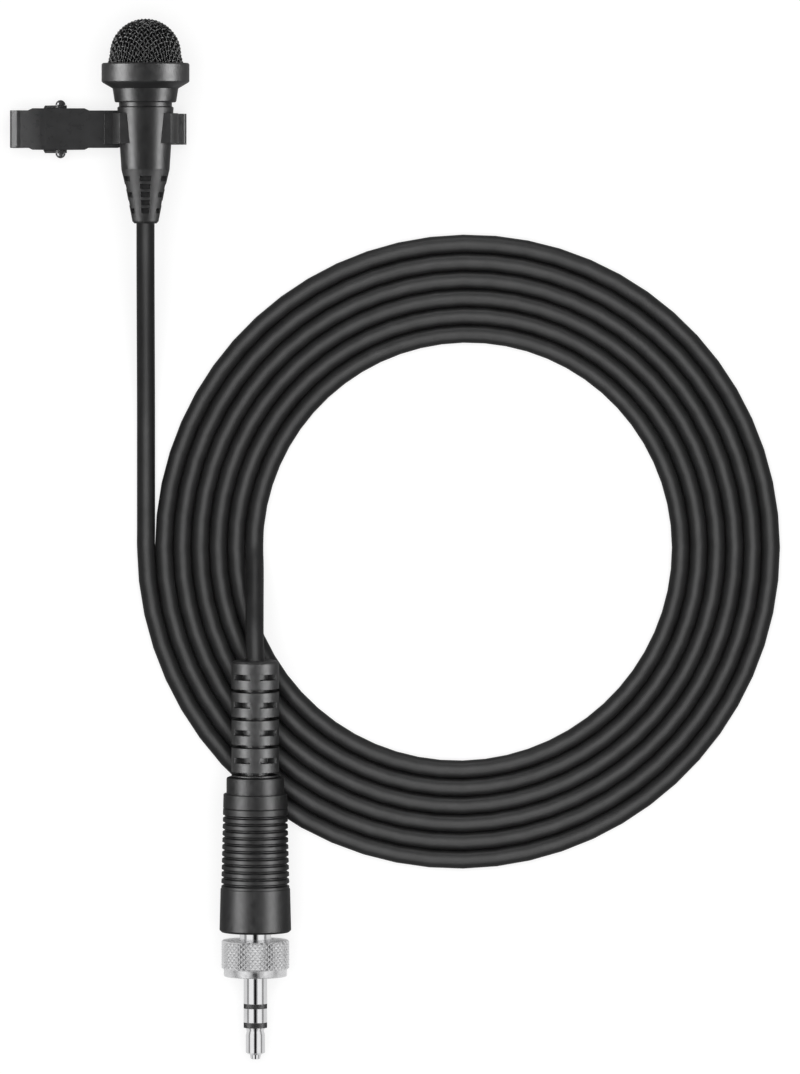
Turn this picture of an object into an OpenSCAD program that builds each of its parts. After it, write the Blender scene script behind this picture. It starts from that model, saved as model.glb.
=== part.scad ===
// Clip-on (lavalier) microphone with its cord in a flat coil and a screw-locking 3.5 mm plug.
// Millimetres. +Y runs along the microphone towards its mesh dome and +Z up from the
// surface that it lies on. The origin is on that surface, under the middle of the
// microphone and its clip. Angles are in degrees.

/* [Microphone head] */
// Height of the mesh dome above the collar
dome_h = 6.6; // [6.2:0.1:8]
// Radius of the dome's round top
dome_r = 5.3; // [5:0.05:5.5]
// Radius of the dome's skirt, where it enters the collar
skirt_r = 5.6; // [5.5:0.05:5.8]
// Wall of the mesh dome
dome_wall = 0.35; // [0.25:0.05:0.5]
// Distance from hole to hole in the mesh dome
hole_pitch = 1.2; // [1.1:0.1:1.6]
// Diameter of a hole in the mesh dome
hole_d = 0.8; // [0.5:0.05:0.9]
// Radius of the collar ring
collar_r = 6.55; // [6.2:0.05:7]
// Height of the collar ring's straight rim
collar_h = 2.95; // [2.6:0.05:3.4]
// Height of the collar ring's cone below its rim
collar_cone_h = 0.85; // [0.6:0.05:1.1]
// Depth of the dome's seat in the collar ring
seat_depth = 1.9; // [1.5:0.1:2.2]

/* [Capsule] */
// Radius of the microphone capsule
capsule_r = 3; // [2.6:0.1:3.1]
// Height of the capsule
capsule_h = 2.7; // [2.2:0.1:3]
// Thickness of the gasket's flange over the body's rim
gasket_lip = 0.4; // [0.3:0.05:0.6]
// Thickness of the circuit board
board_t = 0.6; // [0.4:0.1:0.8]
// Space between the capsule and the board, which the pins bridge
pin_gap = 0.6; // [0.4:0.1:0.8]

/* [Body] */
// Radius of the neck under the collar
neck_r = 4.9; // [4.75:0.05:5.1]
// Radius of the neck at its foot
neck_foot_r = 4.45; // [4.35:0.05:4.6]
// Height of the neck
neck_h = 2.05; // [1.8:0.05:2.4]
// Width of the groove below the neck
groove_w = 0.65; // [0.4:0.05:0.9]
// Radius at the bottom of that groove
groove_r = 3.95; // [3.9:0.05:4.1]
// Radius of the body below the groove
body_r = 4.2; // [4.15:0.05:4.3]
// Radius of the body where the kink sleeve begins
body_end_r = 3.6; // [3.5:0.05:3.7]
// Length of the body from the groove to the kink sleeve
body_l = 9.35; // [9:0.05:11]
// Radius of the thread that the collar screws onto
spigot_r = 4.55; // [4.45:0.05:4.65]
// Radius of the body's hollow
hollow_r = 3.6; // [3.5:0.05:3.65]
// Radius of the lower hollow, round the leads
lower_hollow_r = 3.3; // [3.25:0.05:3.4]

/* [Kink sleeve] */
// Length of the kink sleeve outside the body
sleeve_l = 8.05; // [7.5:0.05:9]
// Radius of the kink sleeve at its waist
sleeve_mid_r = 2.8; // [2.6:0.05:2.9]
// Radius of the kink sleeve at the cord
sleeve_end_r = 1.95; // [1.85:0.05:2.2]
// Height of a slot in the kink sleeve
sleeve_slot_h = 0.75; // [0.5:0.05:0.9]
// Distance from one row of slots to the next
sleeve_row_pitch = 1.2; // [1.15:0.05:1.35]
// Radius of the sleeve's shank inside the body
shank_r = 2.9; // [2.7:0.05:2.95]

/* [Clip] */
// Thickness of the clip's sheet metal
sheet_t = 0.4; // [0.4:0.05:0.5]
// Distance from the pin's axis to the inside of either arm
arm_in = 1.25; // [1.2:0.05:1.4]
// Width of an arm
arm_w = 5.55; // [5.2:0.05:5.8]
// Width of an arm's jaw
jaw_w = 4.6; // [4.2:0.1:5]
// Width over the upper arm's ears
upper_ears_w = 6.2; // [6:0.05:6.4]
// Reach of an arm from the pin to the end of its lever
lever_reach = 7.5; // [7:0.1:9]
// Reach of an arm from the pin to the tip of its jaw
jaw_reach = 18.8; // [18:0.1:20]
// Slope of a lever
lever_slope = 24; // [23:0.5:27]
// Slope of the lever's rolled-in end, the other way
roll_a = 33; // [28:1:36]
// Length of the flat between the roll and the lever's edge
roll_l = 0.7; // [0.5:0.05:0.8]
// Radius of the hinge pin
pin_r = 0.5; // [0.5:0.05:0.6]
// Radius of the hinge pin's riveted heads
pin_head_r = 0.75; // [0.7:0.05:0.85]
// Height of a riveted head of the hinge pin
pin_head_h = 0.75; // [0.5:0.05:0.75]
// Number of gaps between teeth along a jaw
jaw_teeth = 5; // [4:1:6]
// Depth of the teeth
tooth_h = 0.5; // [0.3:0.05:0.6]
// Length of the microphone holder along the body
holder_l = 4.5; // [4:0.1:4.8]
// Radius over the holder's ring
holder_r = 4.9; // [4.8:0.05:5]
// Height above the microphone's axis at which the holder's ring is open
holder_open_h = 3.1; // [2.9:0.1:3.4]
// Thickness of the holder's foot
foot_t = 0.4; // [0.3:0.05:0.5]
// Reach of the holder's foot from the microphone's axis
foot_reach = 6.2; // [5.6:0.1:7]
// Radius of the holder's rivet
rivet_r = 0.8; // [0.6:0.05:0.9]

/* [Clip spring] */
// Diameter of the spring's wire
wire_d = 0.4; // [0.35:0.05:0.45]
// Radius of the spring's curls, to the middle of the wire
curl_r = 0.9; // [0.85:0.05:0.95]
// Distance from curl to curl
curl_pitch = 1; // [0.85:0.05:1.1]
// Number of whole curls
curls = 3; // [2:1:4]

/* [Cord] */
// Diameter of the cord
cord_d = 2.6; // [2.4:0.05:2.6]
// Radius of the coil where the lead enters it
coil_r = 47.34; // [47:0.01:48]
// Distance from one turn of the coil to the next
coil_pitch = 2.69; // [2.69:0.01:2.7]
// How far the hand-laid coil is out of round, twice in a turn
coil_lean = 0.15; // [0:0.01:0.16]
// How far the last turn has come away from the others at its end
coil_loose = 0.22; // [0:0.01:0.4]

/* [Plug] */
// Length of the ribbed boot
boot_l = 17.3; // [16.5:0.1:18]
// Radius of the boot
boot_r = 3.55; // [3.4:0.05:3.6]
// Length of the barrel's smooth shoulder
shoulder_l = 2.5; // [2:0.1:3]
// Radius of the barrel's smooth shoulder
shoulder_r = 4.3; // [4.2:0.05:4.4]
// Length of the barrel's grip
grip_l = 20.7; // [20:0.1:22]
// Radius of the grip at the shoulder
grip_r = 4.75; // [4.65:0.05:4.8]
// Radius of the grip at the nut
grip_end_r = 5.25; // [5.1:0.05:5.3]
// Distance from groove to groove on the grip
grip_groove_pitch = 1.02; // [0.9:0.02:1.2]
// Number of grooves on the grip
grip_grooves = 11; // [9:1:12]
// Radius of the neck that the lock nut runs on
bush_neck_r = 2.35; // [2.3:0.05:2.4]
// Radius of the flange that stops the lock nut
bush_flange_r = 3.2; // [3.1:0.05:3.25]
// Thickness of that flange
bush_flange_t = 1.1; // [0.9:0.05:1.3]
// Length from the barrel to the front of the flange
bush_reach = 4.9; // [4.7:0.05:5.2]

/* [Lock nut] */
// Gap between the barrel and the lock nut
nut_gap = 1.25; // [1.2:0.05:1.4]
// Length of the knurled part of the lock nut
knurl_l = 4.25; // [4:0.05:4.6]
// Length of the lock nut's plain lip
nut_lip_l = 1.15; // [0.9:0.05:1.4]
// Radius over the knurl
nut_r = 5.08; // [5:0.02:5.1]
// Radius of the plain lip
nut_lip_r = 4.7; // [4.5:0.05:4.8]
// Radius of the nut's thread
nut_thread_r = 3.4; // [3.35:0.05:3.6]
// Thickness of the nut's rear wall
nut_wall = 1; // [0.8:0.05:1.1]
// Number of ridges round the knurl
knurl_n = 40; // [30:2:44]
// Depth of the knurl
knurl_depth = 0.22; // [0.15:0.01:0.25]

/* [Jack] */
// Radius of the jack's sleeve, ring and insulators
jack_r = 1.75; // [1.7:0.01:1.8]
// Length of the sleeve in front of the flange
sleeve_contact_l = 5.85; // [5.6:0.05:6.1]
// Length of a front insulator
insulator_l = 0.7; // [0.5:0.05:0.8]
// Length of the ring contact
ring_contact_l = 2.1; // [1.9:0.05:2.3]
// Length of the tip contact
tip_contact_l = 4.7; // [4.4:0.05:5]

/* [Hidden] */
$fn = 96;

// Clearances
running = 0.04;        // between a piece that turns and the piece that carries it
slip = 0.05;           // between sheets, sleeves and bores that are pushed together
cut = 0.02;            // how far a cutting solid passes the face that it cuts
BLACK = [0.13, 0.13, 0.135];
DARK = [0.18, 0.18, 0.185];
CHROME = [0.85, 0.85, 0.86];
BRASS = [0.78, 0.66, 0.4];

// Heights along the microphone's axis, from the middle of the microphone
mic_l = dome_h + collar_h + collar_cone_h + neck_h + groove_w + body_l + sleeve_l;
dome_top = mic_l / 2;
collar_top = dome_top - dome_h;
collar_foot = collar_top - collar_h;
neck_top = collar_foot - collar_cone_h;
neck_foot = neck_top - neck_h;
body_top = neck_foot - groove_w;
body_end = body_top - body_l;
sleeve_end = body_end - sleeve_l;
basket_seat = collar_top - seat_depth;
dome_c = dome_top - dome_r;                    // centre of the dome's round top
capsule_top = basket_seat + gasket_lip;
capsule_back = capsule_top - capsule_h;
board_top = capsule_back - pin_gap;
board_back = board_top - board_t;
board_r = capsule_r - 0.4;
ledge_t = 0.8;                                 // ledge in the body that takes the cord's pull
ledge_top = -2.4;
ledge_foot = ledge_top - ledge_t;
ledge_r = 2;
ferrule_flange_t = 0.8;
ferrule_top = ledge_top + ferrule_flange_t;
cord_end = ferrule_top + 0.4;                  // cut end of the cord's jacket, in the body
cord_r = cord_d / 2;

// The clip. Its own frame has its origin on the pin, +X towards the jaw and +Z up.
clip_y = -1.1;
arm_out = arm_in + sheet_t;
hinge_flat = 2.2;                              // from the pin to the bend of the lever
bend_r = 2;
lever_knee = hinge_flat + (sheet_t + bend_r) * tan(lever_slope / 2);
roll_r = 0.3;                                  // inside the roll and inside the lever's edge
lever_l = (lever_reach - sheet_t - hinge_flat - (sheet_t + bend_r) * sin(lever_slope)
    - roll_r * (1 + sin(lever_slope)) - roll_l * cos(roll_a)) / cos(lever_slope);
lever_h = arm_in + (sheet_t + bend_r) * (1 - cos(lever_slope)) + lever_l * sin(lever_slope)
    + roll_r * (1 - cos(lever_slope)) + sheet_t;
clip_z = lever_h;                              // the lower lever's roll stands on the surface
nose_slope = 20;
nose_r = 1.5;
lip_r = 0.2;
lip_top = 0.45;                                // height at which the jaw's lip hangs straight
nose_l = (arm_in - nose_r * (1 - cos(nose_slope)) - lip_r * cos(nose_slope) - lip_top)
    / sin(nose_slope);
nose_start = jaw_reach - sheet_t - lip_r - (nose_r - lip_r) * sin(nose_slope)
    - nose_l * cos(nose_slope);
jaw_start = 9.5;                               // where the arm narrows to its jaw
jaw_taper = 1;
tooth_gap = 0.12;                              // between the closed jaws' teeth
boss_r = 1.1;                                  // of the upper ears round the pin
lower_boss_r = 0.95;
lower_ears_in = upper_ears_w + 2 * slip;       // between the lower ears
lower_ears_w = lower_ears_in + 2 * sheet_t;
upper_ear_x = [-4.15, 3.6];                     // where the upper ears begin and end
lower_ear_x = [-2.35, 0.7];
upper_ear_taper = 0.7;                         // over which the plate widens to its ears
lower_ear_taper = 0.4;
pin_half_l = lower_ears_w / 2 + slip;

// Places of the microphone and of the clip
holder_stand = 0.25;                           // from the arm's top to the holder's ring
mic_z = clip_z + arm_out + holder_stand + holder_r;
mic_x = 6.85;
hinge_x = lever_reach - mic_x - collar_r;        // the lever ends as far left as the collar right
rivet_x = mic_x;
seat_a = atan((body_r - body_end_r) / body_l);     // taper of the body

// The cord. Its coil is a spiral in one layer, entered at its left.
coil_turns = 6;
coil_rings = 24;                               // rings in a turn
coil_x = mic_x + coil_r;
coil_y = -63.49;
coil_steps = coil_turns * coil_rings - 1;
// Route of the lead, from the ferrule out of the sleeve and down to the coil
lead_route = [
    [mic_x, cord_end, mic_z], [mic_x, ledge_foot, mic_z], [mic_x, -9, mic_z],
    [mic_x, -16, mic_z], [mic_x, -18, 9.93], [mic_x, -21, 9.5], [mic_x, -24, 8.75],
    [mic_x, -27, 7.7], [mic_x, -30, 6.5], [mic_x, -33, 5.2], [mic_x, -36, 4], [mic_x, -39, 2.9],
    [mic_x, -42, 2], [mic_x, -45, 1.5], [mic_x, -48, 1.3], [mic_x, -54, 1.3],
    [mic_x, coil_y + cord_d, cord_r]
];

// The plug lies on the coil, with its nut near the surface. Its frame has its origin at
// the boot's rear, and +Z towards the jack's tip.
plug_x = 23.2;
plug_y = -80.4;
plug_z = 8.77;
plug_tilt = 4.5;
function on_plug(s) = [plug_x, plug_y - s * cos(plug_tilt), plug_z - s * sin(plug_tilt)];
barrel_start = boot_l + 0.1;
grip_start = barrel_start + shoulder_l;
barrel_end = grip_start + grip_l;
flange_front = barrel_end + bush_reach;
sleeve_front = flange_front + sleeve_contact_l;
ring_start = sleeve_front + insulator_l;
ring_front = ring_start + ring_contact_l;
tip_start = ring_front + insulator_l + 0.1;
tip_front = tip_start + tip_contact_l;
nut_start = barrel_end + nut_gap;
barrel_hollow_r = 3.7;
barrel_thread_r = 4;
bush_thread_l = 4.5;
boot_neck_r = 3;
boot_flange_t = 1.3;
boot_front = grip_start + boot_flange_t;
clamp_start = boot_front + 0.4;
clamp_l = 3.6;
plug_cord_end = clamp_start + clamp_l + 0.5;
terminal_t = 0.4;
// The jack's tubes, one inside another, from the tip's rod outwards
rod_r = 0.5;
rod_sleeve_r = 0.75;
ring_tube_r = 1.05;
ring_sleeve_r = 1.35;
stem_r = 1.5;                                  // radius of the sleeve's stem inside the bush
tip_tab = plug_cord_end + 1.2;
ring_tab = tip_tab + 3;
sleeve_rear = barrel_end - bush_thread_l - terminal_t;
// Route of the tail, from the end of the coil over its turns and into the boot
coil_last = coil_point(coil_steps);
tail_x = plug_x - 0.1;
tail_route = [
    coil_last, coil_point(coil_steps + 0.35) + [0, 0, 0.02],
    coil_point(coil_steps + 0.7) + [-0.03, 0, 0.2], [tail_x, coil_y, cord_r + 0.6],
    [tail_x, -66, 2.85], [tail_x, -68, 4.1], [tail_x, -70, 5.55], [tail_x, -72, 6.9],
    [tail_x, -74, 7.9], [tail_x, -76, 8.5], [tail_x + 0.05, -78.5, 8.82], on_plug(0), on_plug(4),
    on_plug(10), on_plug(16), on_plug(plug_cord_end)
];

// --- Vectors and tubes ---------------------------------------------------------------

function unit(v) = v / norm(v);

// Direction of a route at its point i: halfway between its two stretches
function heading(route, i) = unit(
    (i < len(route) - 1 ? unit(route[i + 1] - route[i]) : [0, 0, 0])
    + (i > 0 ? unit(route[i] - route[i - 1]) : [0, 0, 0]));

// One ring of n points round p, square to the direction d. Its flats stand sideways.
function ring(p, d, up, r, n) =
    let (side = unit(cross(d, up)), top = cross(side, d))
    [for (k = [0:n - 1]) let (a = 180 / n + 360 * k / n) p + r * (cos(a) * side + sin(a) * top)];

// A closed tube through rings of n points each
module tube(rings, n) {
    last = len(rings) - 1;
    polyhedron(
        points = [for (one = rings) for (p = one) p],
        faces = concat(
            [for (k = [1:n - 2]) [0, k, k + 1]],
            [for (k = [1:n - 2]) [last * n, last * n + k + 1, last * n + k]],
            [for (i = [0:last - 1]) for (k = [0:n - 1]) let (m = (k + 1) % n)
                [i * n + k, (i + 1) * n + k, (i + 1) * n + m]],
            [for (i = [0:last - 1]) for (k = [0:n - 1]) let (m = (k + 1) % n)
                [i * n + k, (i + 1) * n + m, i * n + m]]));
}

// A tube of n sides and radius r along a route
module swept(route, r, n, up) {
    tube([for (i = [0:len(route) - 1]) ring(route[i], heading(route, i), up, r, n)], n);
}

// Least distance between two rings' points
function ring_gap(a, b) = min([for (p = a) for (q = b) norm(p - q)]);

// --- Microphone ----------------------------------------------------------------------

// Puts a turned piece, drawn round Z, on the microphone's axis
module on_mic_axis() {
    translate([mic_x, 0, mic_z]) rotate([-90, 0, 0]) children();
}

// Half section of the dome, its surface drawn in by a distance
module dome_section(drawn_in) {
    intersection() {
        union() {
            translate([0, dome_c]) circle(r = dome_r - drawn_in);
            polygon([
                [0, basket_seat], [skirt_r - drawn_in, basket_seat],
                [skirt_r - drawn_in, collar_top], [dome_r - drawn_in, dome_c], [0, dome_c]
            ]);
        }
        translate([0, basket_seat]) square([skirt_r, dome_top - basket_seat + 1]);
    }
}

// Rows of holes on the dome: each is an angle above the dome's centre
hole_row_a = 360 * hole_pitch / (2 * PI * dome_r);
hole_rows = floor(90 / hole_row_a);

module mesh_basket() {
    color(BLACK) on_mic_axis() difference() {
        rotate_extrude() difference() {
            dome_section(0);
            dome_section(dome_wall);
        }
        for (row = [0:hole_rows]) {
            above = 90 - row * hole_row_a;
            count = max(1, floor(2 * PI * dome_r * cos(above) / hole_pitch));
            for (i = [0:count - 1])
                translate([0, 0, dome_c]) rotate([0, 90 - above, 360 * (i + 0.5 * (row % 2)) / count])
                    translate([0, 0, dome_r - 2 * dome_wall])
                        cylinder(d = hole_d, h = 4 * dome_wall, $fn = 24);
        }
    }
}

module foam_liner() {
    color(DARK) on_mic_axis() difference() {
        rotate_extrude() difference() {
            dome_section(dome_wall);
            square([skirt_r, capsule_top]);
        }
        // hollow over the capsule
        translate([0, 0, capsule_top - cut]) cylinder(r1 = capsule_r, r2 = capsule_r - 1, h = 1.5);
    }
}

module collar_ring() {
    edge = 0.2;
    color(DARK) on_mic_axis() rotate_extrude() polygon([
        [spigot_r, neck_top], [neck_r, neck_top], [collar_r - edge, collar_foot],
        [collar_r, collar_foot + edge], [collar_r, collar_top - edge],
        [collar_r - edge, collar_top], [skirt_r, collar_top], [skirt_r, basket_seat],
        [spigot_r, basket_seat]
    ]);
}

module capsule_gasket() {
    hold_r = board_r;                          // radius of the lip under the capsule
    color(BLACK) on_mic_axis() rotate_extrude() polygon([
        [capsule_r, capsule_top], [spigot_r, capsule_top], [spigot_r, basket_seat],
        [hollow_r, basket_seat], [hollow_r, board_back], [hold_r, board_back],
        [hold_r, capsule_back], [capsule_r, capsule_back]
    ]);
}

module capsule() {
    hole_r = 0.25;
    hole_ring_r = 1.1;
    can_edge = 0.25;
    pin_x = 1;
    color(CHROME) on_mic_axis() difference() {
        union() {
            rotate_extrude() polygon([
                [0, capsule_back], [capsule_r, capsule_back], [capsule_r, capsule_top - can_edge],
                [capsule_r - can_edge, capsule_top], [0, capsule_top]
            ]);
            for (x = [-pin_x, pin_x])
                translate([x, 0, board_top]) cylinder(r = 0.25, h = pin_gap + cut, $fn = 24);
        }
        for (i = [0:5]) rotate([0, 0, 60 * i]) translate([hole_ring_r, 0, capsule_top - 0.4])
            cylinder(r = hole_r, h = 0.4 + cut, $fn = 24);
        translate([0, 0, capsule_top - 0.4]) cylinder(r = hole_r, h = 0.4 + cut, $fn = 24);
    }
}

module capsule_board() {
    part_size = [0.7, 1.4, 0.5];               // a filter capacitor
    part_x = 1.8;
    color([0.1, 0.35, 0.2]) on_mic_axis() {
        translate([0, 0, board_back]) cylinder(r = board_r, h = board_t);
        for (x = [-part_x, part_x])
            translate([x, 0, board_back - part_size[2] / 2 + cut / 2]) cube(part_size, center = true);
    }
}

// Three insulated cores side by side, from one height to another
module cores(from, to) {
    core_r = 0.35;
    core_ring_r = 0.7;
    for (i = [0:2]) rotate([0, 0, 90 + 120 * i]) translate([core_ring_r, 0, from])
        cylinder(r = core_r, h = to - from, $fn = 24);
}

module capsule_leads() {
    color([0.7, 0.2, 0.15]) on_mic_axis() cores(cord_end, board_back);
}

module housing() {
    edge = 0.15;
    color(BLACK) on_mic_axis() rotate_extrude() polygon([
        [hollow_r, basket_seat], [spigot_r, basket_seat], [spigot_r, neck_top],
        [neck_r, neck_top], [neck_foot_r + edge, neck_foot + edge], [neck_foot_r, neck_foot],
        [groove_r, neck_foot], [groove_r, body_top], [body_r - edge, body_top],
        [body_r, body_top - edge], [body_end_r, body_end],
        [shank_r, body_end], [shank_r, ledge_foot], [ledge_r, ledge_foot], [ledge_r, ledge_top],
        [lower_hollow_r, ledge_top], [lower_hollow_r, board_back - 1], [hollow_r, board_back]
    ]);
}

module cord_ferrule() {
    tube_r = ledge_r - slip;
    flange_r = lower_hollow_r - 0.15;
    color(BRASS) on_mic_axis() rotate_extrude() polygon([
        [cord_r + slip, ledge_foot], [tube_r, ledge_foot], [tube_r, ledge_top],
        [flange_r, ledge_top], [flange_r, ferrule_top], [cord_r + slip, ferrule_top]
    ]);
}

// An arc-shaped cutter round Z: from radius r0 to r1, h high, a degrees wide
module arc_cutter(r0, r1, h, a) {
    rotate([0, 0, -a / 2]) rotate_extrude(angle = a) translate([r0, -h / 2]) square([r1 - r0, h]);
}

module kink_sleeve() {
    waist = body_end - 0.42 * sleeve_l;
    end_edge = 0.3;
    rows = 5;
    slots = [6, 4];                            // in a row and in the next
    slot_a = 29;
    first_row = body_end - 1.4;
    slot_depth = 0.55;
    color(BLACK) on_mic_axis() difference() {
        rotate_extrude() polygon([
            [cord_r + slip, ledge_foot], [shank_r, ledge_foot], [shank_r, body_end],
            [body_end_r, body_end], [sleeve_mid_r, waist], [sleeve_end_r, sleeve_end + end_edge],
            [sleeve_end_r - end_edge, sleeve_end], [cord_r + slip, sleeve_end]
        ]);
        for (row = [0:rows - 1]) {
            y = first_row - row * sleeve_row_pitch;
            // radius of the sleeve at this row
            r = y > waist
                ? sleeve_mid_r + (body_end_r - sleeve_mid_r) * (y - waist) / (body_end - waist)
                : sleeve_end_r + (sleeve_mid_r - sleeve_end_r) * (y - sleeve_end) / (waist - sleeve_end);
            count = slots[row % 2];
            for (i = [0:count - 1]) rotate([0, 0, -90 + 360 * i / count])
                translate([0, 0, y]) arc_cutter(r - slot_depth, r + 1, sleeve_slot_h, slot_a);
        }
    }
}

// --- Clip ----------------------------------------------------------------------------

// Puts a piece of the clip, drawn in the clip's own frame, in its place
module on_pin() {
    translate([hinge_x, clip_y, clip_z]) children();
}

// The same piece for the lower arm
module lower() {
    mirror([0, 0, 1]) children();
}

// An arm's sheet, seen from the side, is a list of [x, z, direction] along its inside. This
// is a bend from the point p: by the angle a, with the radius r at the inside of the arm.
// Both are negative for a bend towards the pin.
function bend(p, r, a, n) = [for (k = [0:n]) let (h = p[2] + a * k / n)
    [p[0] + r * (sin(h) - sin(p[2])), p[1] + r * (cos(p[2]) - cos(h)), h]];
// The point that lies l further along
function ahead(p, l) = [p[0] + l * cos(p[2]), p[1] + l * sin(p[2]), p[2]];
function end_of(list) = list[len(list) - 1];

lever_bend = bend([hinge_flat, arm_in, 0], sheet_t + bend_r, lever_slope, 4);
roll_bend = bend(ahead(end_of(lever_bend), lever_l), -roll_r, -lever_slope - roll_a, 6);
edge_bend = bend(ahead(end_of(roll_bend), roll_l), -roll_r, roll_a - 90, 4);
lever_side = concat(lever_bend, roll_bend, edge_bend);
nose_bend = bend([nose_start, arm_in, 0], -nose_r, -nose_slope, 5);
lip_bend = bend(ahead(end_of(nose_bend), nose_l), -lip_r, nose_slope - 90, 6);
jaw_side = concat(nose_bend, lip_bend, [ahead(end_of(lip_bend), lip_top + tooth_h)]);
function inside(side) = [for (p = side) [p[0], p[1]]];
function outside(side) = [for (p = side) [p[0] - sheet_t * sin(p[2]), p[1] + sheet_t * cos(p[2])]];
function mirrored(points) = [for (p = points) [-p[0], p[1]]];
function backwards(points) = [for (i = [len(points) - 1:-1:0]) points[i]];

// The jaw's edge: teeth to and fro across it, phase 1 or -1, a gap's half below the pin's
// height
function tooth_line(phase) = [for (i = [0:2 * jaw_teeth])
    [-jaw_w / 2 + jaw_w * i / (2 * jaw_teeth),
        tooth_gap / 2 + phase * (i % 2 == 0 ? -1 : 1) * tooth_h / 2]];

// An arm without its ears: the lever with its rolled-in end, the flat middle that carries
// the ears and is as wide as they are, and the jaw with its sloped nose and toothed lip
module arm(phase, ears_w, ear_x, taper) {
    teeth = tooth_line(phase);
    half = [arm_w / 2, ears_w / 2, jaw_w / 2];
    side = [
        [-lever_reach - 1, half[0]], [ear_x[0] - taper, half[0]], [ear_x[0], half[1]],
        [ear_x[1], half[1]], [ear_x[1] + taper, half[0]], [jaw_start - jaw_taper, half[0]],
        [jaw_start + jaw_taper, half[2]], [jaw_reach + 1, half[2]]
    ];
    difference() {
        intersection() {
            translate([0, ears_w, 0]) rotate([90, 0, 0]) linear_extrude(2 * ears_w) polygon(concat(
                backwards(mirrored(inside(lever_side))), inside(jaw_side),
                backwards(outside(jaw_side)), mirrored(outside(lever_side))));
            translate([0, 0, -2]) linear_extrude(12)
                polygon(concat(side, [for (p = backwards(side)) [p[0], -p[1]]]));
        }
        translate([jaw_reach - sheet_t - 1, 0, 0]) rotate([90, 0, 90]) linear_extrude(sheet_t + 2)
            polygon(concat([[-jaw_w, teeth[0][1]]], teeth, [[jaw_w, teeth[0][1]], [jaw_w, -2],
                [-jaw_w, -2]]));
    }
}

// Both ears of an arm, w apart over their outsides: a round boss on a web
module ears(w, boss, span, bore) {
    mid = arm_in + sheet_t / 2;                // the web ends inside the sheet
    rise = (-lever_knee - span[0]) * tan(lever_slope);         // of the lever over the web
    for (side = [-1, 1]) translate([0, side * (w - sheet_t) / 2, 0]) rotate([90, 0, 0])
        translate([0, 0, -sheet_t / 2]) linear_extrude(sheet_t) difference() {
            union() {
                circle(r = boss);
                polygon(concat(
                    [[-boss * 0.8, -boss * 0.6], [boss * 0.8, -boss * 0.6],
                        [span[1], arm_in], [span[1], mid]],
                    rise > 0 ? [[-lever_knee, mid], [span[0], mid + rise], [span[0], arm_in + rise]]
                        : [[span[0], mid], [span[0], arm_in]]));
            }
            circle(r = bore);
        }
}

module mic_holder() {
    // The bore follows the body's taper, a running clearance away from it
    y0 = clip_y - holder_l / 2;
    y1 = clip_y + holder_l / 2;
    function bore_r(y) = body_r + running - (body_top - y) * tan(seat_a);
    ring_in = body_end_r;                      // the bore is cut wider than this
    pad_w = 4.6;                               // of the pad between the ring and the foot
    color(BLACK) difference() {
        union() {
            on_mic_axis() rotate_extrude() translate([ring_in, y0])
                square([holder_r - ring_in, holder_l]);
            translate([mic_x - foot_reach, y0, clip_z + arm_out])
                cube([foot_reach + pad_w / 2, holder_l, foot_t]);
            translate([mic_x - pad_w / 2, y0, clip_z + arm_out])
                cube([pad_w, holder_l, 1.1]);
        }
        // room for the body
        on_mic_axis() rotate_extrude() polygon([
            [0, y0 - 1], [bore_r(y0 - 1), y0 - 1], [bore_r(y1 + 1), y1 + 1], [0, y1 + 1]
        ]);
        // the ring is open at its top, where the body snaps in
        translate([mic_x - holder_r, y0 - 1, mic_z + holder_open_h])
            cube([2 * holder_r, holder_l + 2, holder_r]);
        // hole for the rivet, countersunk under the body
        translate([rivet_x, clip_y, clip_z + arm_in - cut]) cylinder(r = rivet_r, h = 2, $fn = 48);
    }
}

module holder_rivet() {
    head_h = 0.35;
    top = mic_z - body_r - 0.05;               // just below the body
    color(CHROME) translate([rivet_x, clip_y, 0]) {
        translate([0, 0, clip_z + arm_in]) cylinder(r = rivet_r, h = top - clip_z - arm_in, $fn = 48);
        translate([0, 0, clip_z + arm_in - head_h]) cylinder(r1 = rivet_r + 0.15, r2 = rivet_r + 0.5,
            h = head_h, $fn = 48);
    }
}

module clip_upper_arm() {
    color(BLACK) on_pin() difference() {
        union() {
            arm(1, upper_ears_w, upper_ear_x, upper_ear_taper);
            ears(upper_ears_w, boss_r, upper_ear_x, pin_r);
        }
        translate([rivet_x - hinge_x, 0, 0]) cylinder(r = rivet_r, h = arm_out + 1, $fn = 48);
    }
}

module clip_lower_arm() {
    color(BLACK) on_pin() lower() {
        arm(-1, lower_ears_w, lower_ear_x, lower_ear_taper);
        ears(lower_ears_w, lower_boss_r, lower_ear_x, pin_r + running);
    }
}

module hinge_pin() {
    color(DARK) on_pin() rotate([90, 0, 0]) {
        cylinder(r = pin_r, h = 2 * pin_half_l, center = true);
        for (side = [0, 1]) mirror([0, 0, side]) translate([0, 0, pin_half_l])
            rotate_extrude() intersection() {
                translate([0, pin_head_h - pin_head_r]) circle(r = pin_head_r);
                square([pin_head_r, pin_head_h]);
            }
    }
}

// The spring's curls run from the middle of the pin's upper side round it to the lower side
curl_steps = 8 * curls + 4;
leg_x = [-4.6, -2.8, -1.2];                        // end, knee and foot of a leg
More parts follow.
